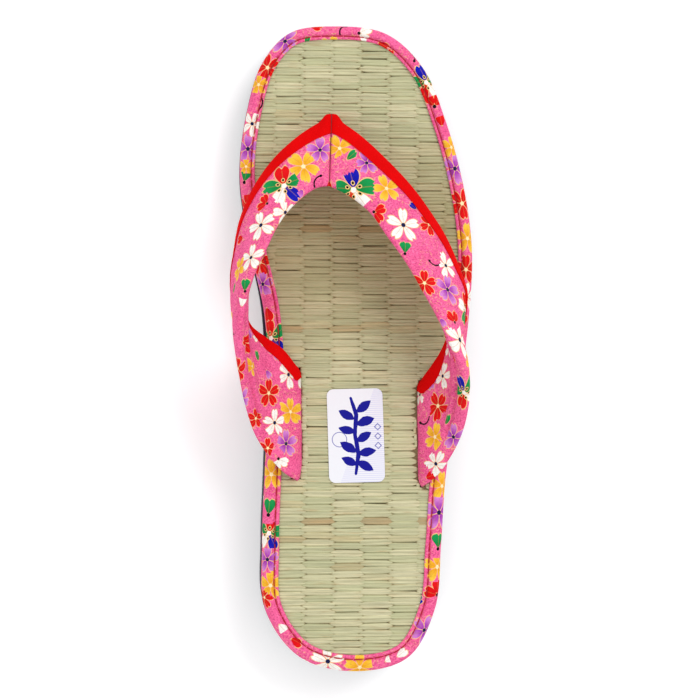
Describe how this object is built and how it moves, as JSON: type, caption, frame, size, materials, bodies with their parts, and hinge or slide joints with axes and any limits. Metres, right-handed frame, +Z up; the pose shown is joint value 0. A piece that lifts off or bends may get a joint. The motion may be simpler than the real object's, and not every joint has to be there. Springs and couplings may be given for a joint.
{
  "type": "zori sandal",
  "caption": "Flat-soled thong sandal with a woven rush footbed on a low wedge sole, a padded print-cloth edge binding and padded V straps piped in red.",
  "frame": {"origin": "on the ground under the middle of the whole sandal's box", "axes": "+Y from heel to toe, +X to the outer (little toe) side of a right foot, +Z up"},
  "size_m": [0.095, 0.25, 0.0597],
  "materials": {
    "sole_foam": "matt fine-grained foam rubber, dark blue-black",
    "rush_mat": "woven rush straw, satin, khaki green with tan bands",
    "print_cloth": "matt crepe cloth, pink with a many-coloured flower print and fine gold lines",
    "red_cloth": "matt red cloth and red sewing thread",
    "label_paper": "thin smooth white label with a plain printed pattern"
  },
  "bodies": {
    "root": {"outsole": "sole_foam", "insole": "rush_mat", "edge_binding": "print_cloth", "hanao_strap": "print_cloth", "strap_piping": "red_cloth", "toe_post": "print_cloth"}
  },
  "joints": []
}
